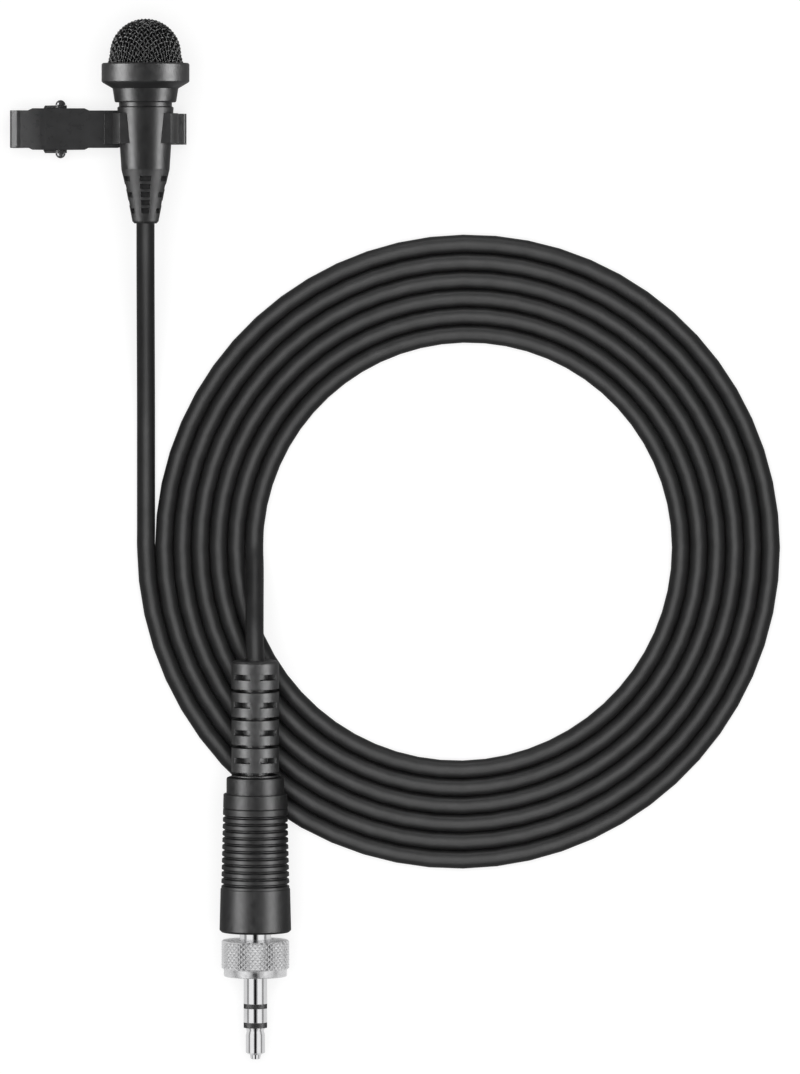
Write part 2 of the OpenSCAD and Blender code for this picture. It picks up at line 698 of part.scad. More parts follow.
// Height of the leg's middle: it lies along the lever
leg_z = [for (x = leg_x) x < -2 ? end_of(lever_bend)[1] - (x + end_of(lever_bend)[0]) * tan(lever_slope)
    - wire_d / 2 / cos(lever_slope) - 0.02 : curl_r + 0.1];
function curl_point(i) = let (a = 90 - 45 * i) [curl_r * cos(a),
    curl_pitch * (curls / 2 + 0.25 - i / 8), curl_r * sin(a)];
function spring_route() = concat(
    [for (i = [0:2]) [leg_x[i], curl_point(0)[1], leg_z[i]]],
    [for (i = [0:curl_steps]) curl_point(i)],
    [for (i = [2:-1:0]) [leg_x[i], curl_point(curl_steps)[1], -leg_z[i]]]);

module clip_spring() {
    color(CHROME) on_pin() swept(spring_route(), wire_d / 2, 6, [0, 1, 0]);
}
spring_gap = min([for (i = [0:curl_steps - 8]) norm(curl_point(i + 8) - curl_point(i))]) - wire_d;
echo(str("least gap from curl to curl of the clip spring, mm: ", spring_gap));

// --- Cord ----------------------------------------------------------------------------

// Middle of the cord at step i of the coil
function coil_point(i) = let (turn = i / coil_rings, a = 180 + 360 * turn,
    loose = coil_loose * max(0, 1 - (coil_turns - turn) / 0.6) ^ 2,
    r = coil_r - coil_pitch * turn - loose + coil_lean * sin(2 * a))
    [coil_x + r * cos(a), coil_y + r * sin(a), cord_r];
function coil_route() = concat([[mic_x, coil_y + cord_d, cord_r]],
    [for (i = [0:coil_steps]) coil_point(i)]);
// The coil's first ring is square to the lead, its last to its own last stretch
function coil_heading(route, i) = i == 0 ? [0, -1, 0] : heading(route, i);
function coil_ring_points(route, i) = ring(route[i], coil_heading(route, i), [0, 0, 1], cord_r, 6);

module cord_coil() {
    route = coil_route();
    color(BLACK) tube([for (i = [0:len(route) - 1]) coil_ring_points(route, i)], 6);
}
// The flats of two turns stand side by side, so their gap is taken between the flats
coil_gap = coil_pitch * cos(180 / coil_rings) - 2 * cord_r * cos(30);
echo(str("least gap from turn to turn of the coil, mm: ", coil_gap));
echo(str("the same on its points, mm: ", min([for (i = [1:coil_steps - coil_rings])
    ring_gap(coil_ring_points(coil_route(), i), coil_ring_points(coil_route(), i + coil_rings))])));

module cord_lead() {
    color(BLACK) swept(lead_route, cord_r, 8, [1, 0, 0]);
}

module cord_tail() {
    // its first ring lies in the coil's last
    rings = [for (i = [0:len(tail_route) - 1]) ring(tail_route[i],
        i == 0 ? unit(coil_point(coil_steps) - coil_point(coil_steps - 1)) : heading(tail_route, i),
        [1, 0, 0], cord_r, 8)];
    color(BLACK) tube(rings, 8);
}
function route_length(route) = len(route) < 2 ? 0
    : norm(route[1] - route[0]) + route_length([for (i = [1:len(route) - 1]) route[i]]);
echo(str("length of the cord along its three stretches, mm: ",
    route_length(lead_route) + route_length(coil_route()) + route_length(tail_route)));

// --- Plug ----------------------------------------------------------------------------

// Puts a turned piece, drawn round Z, on the plug's axis
module on_plug_axis() {
    translate([plug_x, plug_y, plug_z]) rotate([90 + plug_tilt, 0, 0]) children();
}

module plug_boot() {
    edge = 0.35;
    segments = 4;
    first_ring = 4.4;
    ring_pitch = 4.15;
    ring_w = 0.5;
    ring_depth = 1.5;
    slot_h = 0.85;
    slot_depth = 1.5;
    slot_a = 50;
    slot_off = 37;                             // from the boot's top or bottom to a slot's middle
    color(BLACK) on_plug_axis() difference() {
        rotate_extrude() polygon([
            [cord_r + slip, 0], [boot_r - edge, 0], [boot_r, edge], [boot_r, boot_l],
            [boot_neck_r, boot_l], [boot_neck_r, grip_start], [barrel_hollow_r, grip_start],
            [barrel_hollow_r, boot_front], [cord_r + slip, boot_front]
        ]);
        for (i = [0:segments - 1]) translate([0, 0, first_ring + i * ring_pitch]) {
            arc_cutter(boot_r - ring_depth, boot_r + 1, ring_w, 360);
            for (top = [90, 270], side = [-1, 1]) translate([0, 0, -ring_pitch / 2])
                rotate([0, 0, top + side * slot_off])
                    arc_cutter(boot_r - slot_depth, boot_r + 1, slot_h, slot_a);
        }
    }
}

module plug_barrel() {
    edge = 0.3;
    front_edge = 0.12;
    groove_line = 2.15;                        // from the shoulder to the first, single line
    first_groove = 3.35;
    groove_w_grip = 0.46;
    groove_depth = 0.6;
    thread_start = sleeve_rear - 0.4;
    function grip_at(s) = grip_r + (grip_end_r - grip_r) * (s - grip_start) / grip_l;
    color(BLACK) on_plug_axis() difference() {
        rotate_extrude() polygon([
            [boot_neck_r, barrel_start], [shoulder_r - edge, barrel_start],
            [shoulder_r, barrel_start + edge], [shoulder_r, grip_start], [grip_r, grip_start],
            [grip_end_r, barrel_end - front_edge], [grip_end_r - front_edge, barrel_end],
            [barrel_thread_r, barrel_end], [barrel_thread_r, thread_start],
            [barrel_hollow_r, thread_start], [barrel_hollow_r, grip_start],
            [boot_neck_r, grip_start]
        ]);
        translate([0, 0, grip_start + groove_line])
            arc_cutter(grip_at(grip_start + groove_line) - 0.12, grip_end_r + 1, 0.2, 360);
        for (i = [0:grip_grooves - 1]) {
            s = grip_start + first_groove + i * grip_groove_pitch;
            translate([0, 0, s]) arc_cutter(grip_at(s) - groove_depth, grip_end_r + 1, groove_w_grip, 360);
        }
    }
}

module plug_bush() {
    edge = 0.15;
    color(CHROME) on_plug_axis() rotate_extrude() polygon([
        [stem_r, barrel_end - bush_thread_l], [barrel_thread_r, barrel_end - bush_thread_l],
        [barrel_thread_r, barrel_end], [bush_neck_r, barrel_end],
        [bush_neck_r, flange_front - bush_flange_t], [bush_flange_r, flange_front - bush_flange_t],
        [bush_flange_r, flange_front - edge], [bush_flange_r - edge, flange_front],
        [stem_r, flange_front]
    ]);
}

module nut_ring() {
    ring_t = 0.45;
    color(BRASS) on_plug_axis() translate([0, 0, nut_start + nut_wall + running]) difference() {
        cylinder(r = nut_thread_r - running, h = ring_t);
        translate([0, 0, -cut]) cylinder(r = bush_neck_r + running, h = ring_t + 2 * cut);
    }
}

module lock_nut() {
    edge = 0.3;
    knurl_end = nut_start + knurl_l;
    nut_front = knurl_end + nut_lip_l;
    color(CHROME) on_plug_axis() difference() {
        rotate_extrude() polygon([
            [bush_neck_r + running, nut_start], [nut_r - edge, nut_start],
            [nut_r, nut_start + edge], [nut_r, knurl_end - edge], [nut_r - edge, knurl_end],
            [nut_lip_r, knurl_end], [nut_lip_r, nut_front - edge], [nut_lip_r - edge, nut_front],
            [nut_thread_r, nut_front], [nut_thread_r, nut_start + nut_wall],
            [bush_neck_r + running, nut_start + nut_wall]
        ]);
        for (i = [0:knurl_n - 1]) rotate([0, 0, 360 * i / knurl_n])
            translate([nut_r, 0, nut_start + knurl_l / 2]) rotate([0, 0, 45])
                cube([knurl_depth * sqrt(2), knurl_depth * sqrt(2), knurl_l + 1], center = true);
    }
}

module jack_sleeve() {
    color(CHROME) on_plug_axis() rotate_extrude() polygon([
        [ring_sleeve_r, sleeve_rear], [jack_r + 1, sleeve_rear],
        [jack_r + 1, sleeve_rear + terminal_t], [stem_r, sleeve_rear + terminal_t],
        [stem_r, flange_front], [jack_r, flange_front], [jack_r, sleeve_front],
        [ring_sleeve_r, sleeve_front]
    ]);
}

module jack_ring() {
    color(CHROME) on_plug_axis() rotate_extrude() polygon([
        [rod_sleeve_r, ring_tab], [ring_tube_r, ring_tab], [ring_tube_r, ring_start],
        [jack_r, ring_start], [jack_r, ring_front], [rod_sleeve_r, ring_front]
    ]);
}

module jack_tip() {
    waist_r = 1.28;
    head_r = 1.43;
    color(CHROME) on_plug_axis() rotate_extrude() polygon([
        [0, tip_tab], [rod_r, tip_tab], [rod_r, tip_start], [head_r, tip_start],
        [waist_r, tip_start + 0.5], [head_r, tip_start + 1.1], [head_r, tip_front - 0.95],
        [0.85, tip_front - 0.65], [0.7, tip_front], [0, tip_front]
    ]);
}

module jack_insulators() {
    color(BLACK) on_plug_axis() {
        rotate_extrude() polygon([
            [ring_tube_r, sleeve_rear - 1], [ring_sleeve_r, sleeve_rear - 1],
            [ring_sleeve_r, sleeve_front], [jack_r, sleeve_front], [jack_r, ring_start],
            [ring_tube_r, ring_start]
        ]);
        rotate_extrude() polygon([
            [rod_r, ring_tab - 1], [rod_sleeve_r, ring_tab - 1], [rod_sleeve_r, ring_front],
            [jack_r, ring_front], [jack_r, tip_start], [rod_r, tip_start]
        ]);
    }
}

// A solder tab: a washer on a tube of the jack, with a tongue back towards the cord
module tab(inner, outer, s, tongue_l, side) {
    tongue_w = 1;
    color(BRASS) on_plug_axis() {
        difference() {
            translate([0, 0, s]) cylinder(r = outer, h = terminal_t);
            translate([0, 0, s - cut]) cylinder(r = inner, h = terminal_t + 2 * cut);
        }
        translate([side * (outer - terminal_t / 2) - terminal_t / 2, -tongue_w / 2, s - tongue_l])
            cube([terminal_t, tongue_w, tongue_l + cut]);
    }
}

module tip_terminal() {
    tab(rod_r, 1.3, tip_tab, 0.9, 1);
}

module ring_terminal() {
    tab(ring_tube_r, 1.9, ring_tab, 2.2, -1);
}

// The sleeve's terminal: a washer behind the sleeve's flange, an arm back along the barrel
// and two claws round the cord
module cord_clamp() {
    arm_r = 2.9;
    claw_r = cord_r + slip;
    claw_t = 0.65;
    color(BRASS) on_plug_axis() {
        difference() {
            translate([0, 0, sleeve_rear - terminal_t]) cylinder(r = arm_r, h = terminal_t);
            translate([0, 0, sleeve_rear - terminal_t - cut])
                cylinder(r = ring_sleeve_r + slip, h = terminal_t + 2 * cut);
        }
        translate([-1, -arm_r, clamp_start]) cube([2, claw_t, sleeve_rear - clamp_start - cut]);
        translate([-0.5, -arm_r + cut, clamp_start]) cube([1, arm_r - claw_r - claw_t / 2, clamp_l]);
        for (s = [clamp_start, clamp_start + clamp_l - 1.2]) translate([0, 0, s]) difference() {
            cylinder(r = claw_r + claw_t, h = 1.2);
            translate([0, 0, -cut]) cylinder(r = claw_r, h = 1.2 + 2 * cut);
        }
    }
}

module plug_leads() {
    core_r = 0.3;
    touch = 0.01;                              // from a core to the tongue that it is soldered to
    tip_x = 1.3 - terminal_t - core_r - touch;
    ring_x = -1.9 - core_r - touch;
    color([0.7, 0.2, 0.15]) on_plug_axis() {
        swept([[tip_x, 0, plug_cord_end + touch], [tip_x, 0, tip_tab - 0.3]], core_r, 8, [0, 1, 0]);
        // the other passes outside the tip's terminal
        swept([[-0.6, 0, plug_cord_end + touch], [-0.6, 0, plug_cord_end + 0.25],
            [-1.1, 0, plug_cord_end + 0.5], [-1.85, 0, tip_tab - 0.2], [ring_x, 0, ring_tab - 2.4],
            [ring_x, 0, ring_tab - 1.1]], core_r, 8, [0, 1, 0]);
    }
}

// --- The pieces ----------------------------------------------------------------------

mesh_basket();
foam_liner();
collar_ring();
capsule_gasket();
capsule();
capsule_board();
capsule_leads();
housing();
cord_ferrule();
kink_sleeve();
mic_holder();
holder_rivet();
clip_upper_arm();
clip_lower_arm();
hinge_pin();
clip_spring();
cord_lead();
cord_coil();
cord_tail();
plug_boot();
plug_barrel();
plug_bush();
nut_ring();
lock_nut();
jack_sleeve();
jack_ring();
jack_tip();
jack_insulators();
tip_terminal();
ring_terminal();
cord_clamp();
plug_leads();
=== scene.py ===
import math

import bmesh
import bpy
from mathutils import Matrix, Vector


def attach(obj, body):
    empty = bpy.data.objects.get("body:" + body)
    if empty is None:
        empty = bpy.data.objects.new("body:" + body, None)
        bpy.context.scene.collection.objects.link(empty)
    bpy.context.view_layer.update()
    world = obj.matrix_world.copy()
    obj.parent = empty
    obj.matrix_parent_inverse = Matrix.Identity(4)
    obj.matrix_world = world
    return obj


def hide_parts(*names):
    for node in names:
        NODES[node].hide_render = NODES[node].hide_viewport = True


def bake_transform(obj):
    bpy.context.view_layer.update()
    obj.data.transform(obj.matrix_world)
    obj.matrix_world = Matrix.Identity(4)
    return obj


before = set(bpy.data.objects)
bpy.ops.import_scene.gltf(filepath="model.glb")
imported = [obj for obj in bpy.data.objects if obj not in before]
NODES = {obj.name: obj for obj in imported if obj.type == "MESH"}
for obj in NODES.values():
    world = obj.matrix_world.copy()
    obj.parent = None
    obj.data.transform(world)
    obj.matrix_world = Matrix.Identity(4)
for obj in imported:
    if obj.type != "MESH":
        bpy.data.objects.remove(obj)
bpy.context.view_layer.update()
MM = 0.001                           # lengths are in millimetres, where nothing else is said
scene = bpy.context.scene
scene.view_settings.view_transform = "Standard"

# Places that the frame fixes
MIC_X, MIC_Z = 6.85, 9.981           # the microphone's axis
BOOT_REAR = (23.2, -80.4, 8.77)      # the plug's axis starts here
TILT = 4.5                           # and dips by this many degrees

MIDDLE = Vector((0.045, -0.06, 0.0))  # of the object, on the floor, in metres


def new_object(name, data):
    obj = bpy.data.objects.new(name, data)
    scene.collection.objects.link(obj)
    return obj


def mesh_from(name, bm):
    data = bpy.data.meshes.new(name)
    bm.to_mesh(data)
    bm.free()
    return data


# --- Camera, straight above -----------------------------------------------------------

LENS, SENSOR_H = 850.0, 36.0                 # from so far off, the view is nearly parallel
PICTURE_W, PICTURE_H = 800, 1074             # pixels
VIEW_X, VIEW_Y, VIEW_Z = 44.78, -61.98, 4.0  # the middle of the view
VIEW_H = 160.3                               # and the height that the picture shows there


def place_camera():
    data = bpy.data.cameras.new("camera")
    data.type = "PERSP"
    data.sensor_fit = "VERTICAL"
    data.sensor_height = SENSOR_H
    data.sensor_width = SENSOR_H * PICTURE_W / PICTURE_H
    data.lens = LENS
    data.clip_end = 20.0
    camera = new_object("camera", data)
    distance = VIEW_H * LENS / SENSOR_H
    camera.location = (VIEW_X * MM, VIEW_Y * MM, (distance + VIEW_Z) * MM)
    scene.camera = camera


place_camera()


# --- Finishes -------------------------------------------------------------------------

class Nodes:
    """A node tree under construction, with its nodes added one by one."""

    def __init__(self, tree):
        self.tree = tree

    def add(self, kind, **settings):
        node = self.tree.nodes.new(kind)
        for key, value in settings.items():
            setattr(node, key, value)
        return node

    def give(self, value, socket):
        """value: what another node gives, or a number."""
        if isinstance(value, bpy.types.NodeSocket):
            self.tree.links.new(value, socket)
        else:
            socket.default_value = value

    def maths(self, operation, *values):
        node = self.add("ShaderNodeMath", operation=operation)
        for value, socket in zip(values, node.inputs):
            self.give(value, socket)
        return node.outputs[0]

    def mixed(self, fac, a, b):
        node = self.add("ShaderNodeMix", data_type="FLOAT")
        for key, value in (("Factor", fac), ("A", a), ("B", b)):
            self.give(value, node.inputs[key])
        return node.outputs["Result"]

    def between(self, fac, low, high, first=0.35, last=0.65):
        """Goes from low to high while fac goes from first to last."""
        node = self.add("ShaderNodeMapRange")
        self.give(fac, node.inputs["Value"])
        ends = {"From Min": first, "From Max": last, "To Min": low, "To Max": high}
        for key, value in ends.items():
            node.inputs[key].default_value = value
        return node.outputs["Result"]


class Finish(Nodes):
    """A material under construction."""

    def __init__(self, name):
        self.material = bpy.data.materials.new(name)
        self.material.use_nodes = True
        super().__init__(self.material.node_tree)
        self.shader = self.tree.nodes["Principled BSDF"]
        self.place = self.add("ShaderNodeTexCoord").outputs["Object"]

    def set(self, **values):
        for key, value in values.items():
            self.shader.inputs[key.replace("_", " ")].default_value = value

    def mapped(self, scale=(1, 1, 1), turn=(0, 0, 0), centre=(0, 0, 0)):
        node = self.add("ShaderNodeMapping", vector_type="TEXTURE")
        self.give(self.place, node.inputs["Vector"])
        node.inputs["Location"].default_value = [c * MM for c in centre]
        node.inputs["Rotation"].default_value = [math.radians(a) for a in turn]
        node.inputs["Scale"].default_value = [1.0 / s for s in scale]
        return node.outputs["Vector"]

    def noise(self, size_mm, detail=2.0, rough=0.5, at=None):
        """Noise whose grains are about size_mm across."""
        node = self.add("ShaderNodeTexNoise")
        node.inputs["Scale"].default_value = 1000.0 / size_mm
        node.inputs["Detail"].default_value = detail
        node.inputs["Roughness"].default_value = rough
        self.give(at or self.place, node.inputs["Vector"])
        return node.outputs["Fac"]

    def colours(self, fac, dark, light, first=0.3, last=0.7):
        node = self.add("ShaderNodeValToRGB")
        self.give(fac, node.inputs["Fac"])
        for stop, place, colour in zip(node.color_ramp.elements, (first, last), (dark, light)):
            stop.position = place
            stop.color = (*colour, 1.0)
        self.give(node.outputs["Color"], self.shader.inputs["Base Color"])

    def rough(self, fac, low, high):
        self.give(self.between(fac, low, high), self.shader.inputs["Roughness"])

    def bump(self, height, depth_mm, edge_mm=None, turn_marks=None):
        """edge_mm rounds the edges that the light meets. turn_marks maps the lathe's marks."""
        if turn_marks:
            height = self.maths("ADD", height, self.noise(1.0, at=self.mapped(**turn_marks)))
        node = self.add("ShaderNodeBump")
        node.inputs["Distance"].default_value = depth_mm * MM
        self.give(height, node.inputs["Height"])
        if edge_mm:
            round_edge = self.add("ShaderNodeBevel", samples=6)
            round_edge.inputs["Radius"].default_value = edge_mm * MM
            self.give(round_edge.outputs["Normal"], node.inputs["Normal"])
        self.give(node.outputs["Normal"], self.shader.inputs["Normal"])


def grey(level):
    return (level, level, level * 1.02)


def satin_black(name, dark, light, rough, grain_mm, depth_mm, edge_mm=0.08, turn_marks=None,
                metal=0.0, specular=0.5):
    """Black satin paint or moulding. dark, light: levels of grey."""
    f = Finish(name)
    f.set(Metallic=metal, Specular_IOR_Level=specular)
    f.colours(f.noise(2.6, 3.0), grey(dark), grey(light))
    f.rough(f.noise(0.9, 4.0, 0.6), rough - 0.05, rough + 0.06)
    f.bump(f.noise(grain_mm, 3.0, 0.6), depth_mm, edge_mm, turn_marks)
    return f.material


def plated(name, dark, light, rough, depth_mm=0.002, edge_mm=0.05, turn_marks=None):
    """Polished plating or bare metal: fine marks of the tool and a little uneven polish."""
    f = Finish(name)
    f.set(Metallic=1.0)
    f.colours(f.noise(1.4, 3.0), dark, light)
    f.rough(f.noise(0.5, 3.0), rough * 0.7, rough * 1.3)
    f.bump(f.noise(0.25), depth_mm, edge_mm, turn_marks)
    return f.material


# The lathe's marks are drawn out round the piece and lie close along its axis
ALONG_MIC = dict(scale=(0.2, 14.0, 0.2))
ALONG_PLUG = dict(scale=(0.2, 14.0, 0.2), turn=(TILT, 0, 0), centre=BOOT_REAR)

turned_black = satin_black(
    "turned_black", 0.010, 0.014, rough=0.35, grain_mm=0.07, depth_mm=0.004,
    turn_marks=ALONG_MIC, specular=0.205)
collar_black = satin_black(
    "collar_black", 0.010, 0.014, rough=0.38, grain_mm=0.07, depth_mm=0.004,
    turn_marks=ALONG_MIC, specular=0.31)
clip_black = satin_black(
    "clip_black", 0.026, 0.034, rough=0.31, grain_mm=0.09, depth_mm=0.006, specular=0.14)
holder_black = satin_black(
    "holder_black", 0.013, 0.018, rough=0.44, grain_mm=0.09, depth_mm=0.006, specular=0.24)
sleeve_rubber = satin_black(
    "sleeve_rubber", 0.012, 0.017, rough=0.48, grain_mm=0.06, depth_mm=0.008, edge_mm=0.1,
    specular=0.15)
boot_rubber = satin_black(
    "boot_rubber", 0.014, 0.020, rough=0.43, grain_mm=0.06, depth_mm=0.008, edge_mm=0.12,
    specular=0.25)
barrel_black = satin_black(
    "barrel_black", 0.009, 0.013, rough=0.40, grain_mm=0.08, depth_mm=0.006, edge_mm=0.05,
    specular=0.16)
insulator_black = satin_black(
    "insulator_black", 0.014, 0.020, rough=0.50, grain_mm=0.08, depth_mm=0.003, specular=0.12)
gasket_rubber = satin_black(
    "gasket_rubber", 0.02, 0.03, rough=0.6, grain_mm=0.08, depth_mm=0.006)
chrome = plated(
    "chrome", (0.84, 0.84, 0.85), (0.90, 0.90, 0.91), rough=0.06, turn_marks=ALONG_PLUG)
nut_plating = plated(
    "nut_plating", (0.84, 0.84, 0.85), (0.92, 0.92, 0.93), rough=0.34, depth_mm=0.004,
    edge_mm=0.03)
pin_steel = satin_black(
    "pin_steel", 0.05, 0.08, rough=0.33, grain_mm=0.08, depth_mm=0.004, metal=0.6)
spring_steel = plated("spring_steel", (0.45, 0.45, 0.46), (0.56, 0.56, 0.57), rough=0.22)
rivet_steel = plated("rivet_steel", (0.5, 0.5, 0.5), (0.6, 0.6, 0.61), rough=0.25)
plain_brass = plated("plain_brass", (0.62, 0.46, 0.20), (0.72, 0.55, 0.26), rough=0.24)
capsule_can = plated("capsule_can", (0.62, 0.62, 0.63), (0.72, 0.72, 0.73), rough=0.28)

METALS = {chrome, nut_plating, spring_steel, rivet_steel, plain_brass, capsule_can}


def foam_finish():
    f = Finish("foam")
    f.set(Roughness=0.95, Specular_IOR_Level=0.1)
    f.colours(f.noise(0.3, 4.0, 0.7), grey(0.001), grey(0.005))
    f.bump(f.noise(0.18, 3.0, 0.7), depth_mm=0.08)
    return f.material


def cord_finish():
    """Matte jacket: an even dark grey with a very fine grain."""
    f = Finish("cord_jacket")
    f.set(Specular_IOR_Level=0.28)
    f.colours(f.noise(3.0, 3.0), grey(0.010), grey(0.015))
    f.rough(f.noise(0.5, 3.0), 0.40, 0.47)
    f.bump(f.noise(0.06, 3.0, 0.6), depth_mm=0.006)
    return f.material


def board_finish():
    f = Finish("board_green")
    f.set(Coat_Weight=0.4, Coat_Roughness=0.2)
    f.colours(f.noise(0.35), (0.01, 0.10, 0.03), (0.03, 0.20, 0.07), first=0.45, last=0.55)
    f.rough(f.noise(0.2), 0.35, 0.5)
    f.bump(f.noise(0.3), depth_mm=0.01)
    return f.material


def core_finish():
    f = Finish("core_insulation")
    f.colours(f.noise(0.8), (0.42, 0.03, 0.025), (0.55, 0.05, 0.04))
    f.rough(f.noise(0.3), 0.4, 0.55)
    f.bump(f.noise(0.1), depth_mm=0.004)
    return f.material


def wire_finish():
    f = Finish("mesh_wire")
    f.set(Metallic=0.08, Specular_IOR_Level=0.24)
    f.colours(f.noise(0.8), grey(0.003), grey(0.007))
    f.rough(f.noise(0.3, 3.0), 0.20, 0.32)
    f.bump(f.noise(0.05), depth_mm=0.003)
    return f.material


foam = foam_finish()
cord_jacket = cord_finish()
board_green = board_finish()
core_insulation = core_finish()

FINISH_OF = {
    "foam_liner": foam, "collar_ring": collar_black, "capsule_gasket": gasket_rubber,
    "capsule": capsule_can, "capsule_board": board_green, "capsule_leads": core_insulation,
    "housing": turned_black, "cord_ferrule": plain_brass, "kink_sleeve": sleeve_rubber,
    "mic_holder": holder_black, "holder_rivet": rivet_steel, "clip_upper_arm": clip_black,
    "clip_lower_arm": clip_black, "hinge_pin": pin_steel, "clip_spring": spring_steel,
    "plug_boot": boot_rubber, "plug_barrel": barrel_black, "plug_bush": chrome,
    "nut_ring": plain_brass, "lock_nut": nut_plating, "jack_sleeve": chrome, "jack_ring": chrome,
    "jack_tip": chrome, "jack_insulators": insulator_black, "tip_terminal": plain_brass,
    "ring_terminal": plain_brass, "cord_clamp": plain_brass, "plug_leads": core_insulation,
}


def dress(obj, material):
    obj.data.materials.clear()
    obj.data.materials.append(material)


for name, material in FINISH_OF.items():
    dress(NODES[name], material)


# --- The cord -------------------------------------------------------------------------

COIL_R, COIL_PITCH, COIL_LEAN, COIL_Y = 47.34, 2.69, 0.15, -63.49
CORD_R = 1.355                       # wound turns touch: it is 0.02 thicker than they are apart
COIL_X = MIC_X + COIL_R
TURNS, RINGS = 6, 60
LAST_LIFTS = ((-4, 0.01), (-3, 0.07), (-2, 0.21), (-1, 0.38))   # of the coil's last rings
LEAD_STEPS, TAIL_STEPS = 4, 5


def on_plug(s):
    tilt = math.radians(TILT)
    return (BOOT_REAR[0], BOOT_REAR[1] - s * math.cos(tilt), BOOT_REAR[2] - s * math.sin(tilt))


def coil_point(turn):
    a = math.pi + 2 * math.pi * turn
    r = COIL_R - COIL_PITCH * turn + COIL_LEAN * math.sin(2 * a)
    return Vector((COIL_X + r * math.cos(a), COIL_Y + r * math.sin(a), CORD_R))


def through(points, steps):
    """A smooth line through the points, steps of it from one to the next."""
    points = [Vector(p) for p in points]
    ends = [2 * points[0] - points[1]] + points + [2 * points[-1] - points[-2]]
    line = []
    for i in range(1, len(ends) - 2):
        a, b, c, d = ends[i - 1:i + 3]
        for k in range(steps):
            t = k / steps
            line.append(0.5 * (2 * b + (c - a) * t + (2 * a - 5 * b + 4 * c - d) * t ** 2
                               + (3 * b - a - 3 * c + d) * t ** 3))
    return line + [points[-1]]


LEAD = [
    (MIC_X, -1.2, MIC_Z), (MIC_X, -3.2, MIC_Z), (MIC_X, -9, MIC_Z), (MIC_X, -16, MIC_Z),
    (MIC_X, -18, 9.93), (MIC_X, -21, 9.5), (MIC_X, -24, 8.75), (MIC_X, -27, 7.7),
    (MIC_X, -30, 6.5), (MIC_X, -33, 5.2), (MIC_X, -36, 4), (MIC_X, -39, 2.9), (MIC_X, -42, 2),
    (MIC_X, -45, 1.53), (MIC_X, -48, CORD_R), (MIC_X, -54, CORD_R),
    (MIC_X, COIL_Y + 2.6, CORD_R)]
TAIL_X = BOOT_REAR[0] - 0.1
TAIL = [
    (TAIL_X - 0.08, COIL_Y, 1.93), (TAIL_X - 0.02, -66, 2.85), (TAIL_X, -68, 4.1),
    (TAIL_X, -70, 5.55), (TAIL_X, -72, 6.9), (TAIL_X, -74, 7.9), (TAIL_X, -76, 8.5),
    (TAIL_X + 0.05, -78.5, 8.82), on_plug(0), on_plug(4), on_plug(10), on_plug(16),
    on_plug(25.7)]


def tube(name, radius, resolution):
    data = bpy.data.curves.new(name, "CURVE")
    data.dimensions = "3D"
    data.bevel_depth = radius * MM
    data.bevel_resolution = resolution
    return data


def add_line(data, places):
    """places: in metres."""
    line = data.splines.new("POLY")
    line.points.add(len(places) - 1)
    for point, place in zip(line.points, places):
        point.co = (*place, 1.0)
    line.use_smooth = True


def make_cord():
    # the last stretch of the coil lifts off the surface
    coil = [coil_point(i / RINGS) for i in range(1, TURNS * RINGS)]
    for k, lift in LAST_LIFTS:
        coil[k].z += lift
    # the lead and the tail run on into the coil, whose own points stand there
    lead = through(LEAD + [coil_point(0), coil[0]], LEAD_STEPS)[:-1]
    tail = through([coil[-2], coil[-1]] + TAIL, TAIL_STEPS)[TAIL_STEPS + 1:]
    data = tube("cord", CORD_R, 8)
    data.use_fill_caps = True
    add_line(data, [place * MM for place in lead + coil + tail])
    obj = new_object("cord", data)
    dress(obj, cord_jacket)
    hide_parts("cord_lead", "cord_coil", "cord_tail")
    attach(obj, "microphone")
    return obj


cord = make_cord()


# --- New pieces -----------------------------------------------------------------------

def add_piece(name, data, material, body, slot, *stands_for):
    obj = new_object(name, data)
    dress(obj, material)
    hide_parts(*stands_for)
    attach(obj, body)
    return obj


# The mesh dome is a woven sheet pressed over a ball and a short cone
DOME_R, DOME_C, DOME_FOOT_R = 5.3, 9.95, 5.6
DOME_ARC = DOME_R * math.pi / 2      # from the dome's top to where the cone starts
CONE_L, CONE_STEEP = 1.33, 0.975
TUCK = 0.7                           # the wires go on this far inside the collar
WIRE_D, WIRE_PITCH, WIRE_DRIFT, WIRE_PROUD = 0.25, 0.75, 0.10, 0.06
WEAVE_TURN = 45                      # degrees


def on_dome(flat_r, azimuth, out):
    """Place on the dome, out mm above the middle of the weave."""
    r0 = DOME_R - WIRE_D + WIRE_PROUD
    if flat_r < DOME_ARC:
        a = flat_r / DOME_R
        nr, ny = math.sin(a), math.cos(a)
        r, y = r0 * nr, DOME_C + r0 * ny
    else:
        down = flat_r - DOME_ARC
        nr, ny = 1.0, 0.0
        r, y = r0 + (DOME_FOOT_R - DOME_R) * min(1, down / CONE_L), DOME_C - down * CONE_STEEP
    r, y = r + out * nr, y + out * ny
    return Vector((MIC_X + r * math.cos(azimuth), y, MIC_Z + r * math.sin(azimuth))) * MM


def woven_wire(family, i, count, reach):
    """Wire i of the flat sheet, drawn on the dome. The two families cross at right angles."""
    u = (i + 0.5) * WIRE_PITCH
    line = []
    for k in range(-2 * count - 2, 2 * count + 2):
        v = (k + 1) * WIRE_PITCH / 2
        if math.hypot(u, v) > reach:
            continue
        over = 0
        if k % 2 == 0:               # a crossing, over and under in turn
            over = 1 if (i + k // 2 + family) % 2 == 0 else -1
        drift = WIRE_DRIFT * math.sin(1.7 * k + 2.3 * i * i + 4 * family)
        x, z = (u + drift, v) if family == 0 else (v, u + drift)
        line.append(on_dome(math.hypot(x, z), math.atan2(z, x) + math.radians(WEAVE_TURN),
                            over * WIRE_D * 0.5))
    return line


